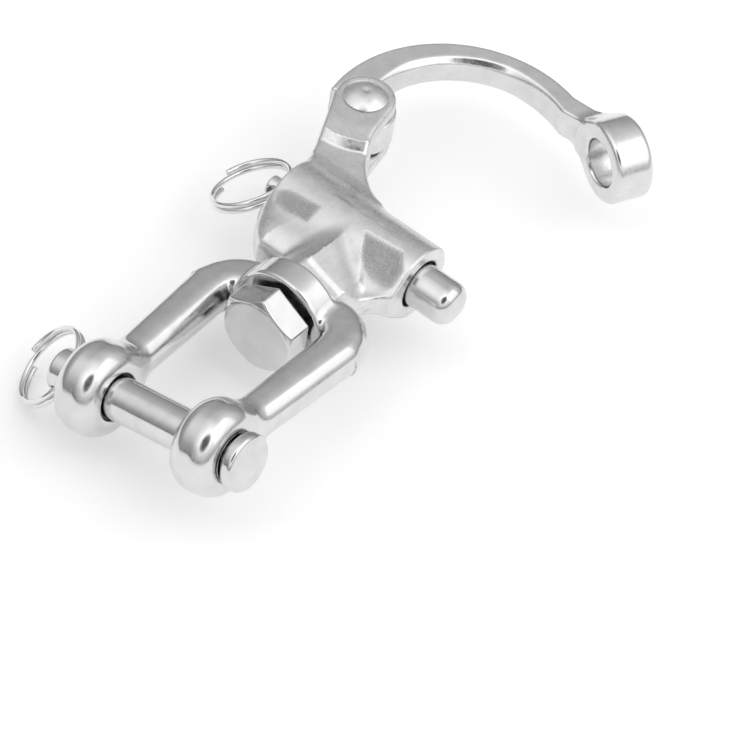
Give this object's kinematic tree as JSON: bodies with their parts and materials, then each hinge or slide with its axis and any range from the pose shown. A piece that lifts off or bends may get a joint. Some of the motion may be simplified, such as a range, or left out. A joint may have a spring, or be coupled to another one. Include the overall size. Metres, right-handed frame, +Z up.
{
  "type": "snap shackle",
  "caption": "Jaw-swivel snap shackle: sprung plunger with pull ring locks a hinged gate, and a swivelling clevis closes with a ring-secured pin.",
  "frame": {"origin": "middle of the bounding box's underside, with the shackle lying flat on its back", "axes": "+X along the plunger towards its nose, +Y along the swivel axis from the jaw towards the gate, +Z up, square to the flat body"},
  "size_m": [0.049, 0.0994, 0.0216],
  "materials": {
    "cast_steel": "tumble-polished cast stainless steel, satin with grainy hollows",
    "gate_steel": "polished cast stainless steel",
    "clevis_steel": "bright polished forged stainless steel",
    "turned_steel": "turned and polished stainless steel",
    "bolt_steel": "machined stainless steel with soft polish",
    "spring_steel": "drawn stainless spring wire",
    "ring_wire": "bright drawn stainless wire"
  },
  "bodies": {
    "body": {"body_casting": "cast_steel", "swivel_bolt": "bolt_steel", "gate_rivet": "turned_steel", "plunger_spring": "spring_steel"},
    "gate": {"gate_arm": "gate_steel"},
    "plunger": {"plunger": "turned_steel"},
    "pull_ring": {"pull_ring": "ring_wire"},
    "clevis": {"clevis": "clevis_steel"},
    "clevis_pin": {"clevis_pin": "turned_steel"},
    "pin_ring": {"pin_split_ring": "ring_wire"}
  },
  "joints": [
    {"name": "gate_hinge", "type": "hinge", "parent": "body", "child": "gate", "pos_m": [-0.01399, 0.02332, 0.0123], "axis": [0, 0, 1], "range_deg": [-52, 85]},
    {"name": "plunger_slide", "type": "slide", "parent": "body", "child": "plunger", "axis": [-1, 0, 0], "range_m": [0, 0.005], "stiffness_N_per_m": 400, "springref_m": -0.01, "deforming": ["plunger_spring"]},
    {"name": "pull_ring_swing", "type": "hinge", "parent": "plunger", "child": "pull_ring", "pos_m": [-0.01359, 0.00362, 0.0123], "axis": [0, 1, 0], "range_deg": [-60, 105]},
    {"name": "jaw_swivel", "type": "hinge", "parent": "body", "child": "clevis", "pos_m": [0.00271, -0.01639, 0.0123], "axis": [0, 1, 0], "continuous": true},
    {"name": "pin_spin", "type": "hinge", "parent": "clevis", "child": "clevis_pin", "pos_m": [0.00271, -0.04268, 0.0123], "axis": [0.9796, 0, 0.2011], "continuous": true},
    {"name": "pin_ring_swing", "type": "hinge", "parent": "clevis_pin", "child": "pin_ring", "pos_m": [-0.01316, -0.04268, 0.00904], "axis": [-0.1005, 0.866, 0.4898], "range_deg": [-58, 118]}
  ]
}
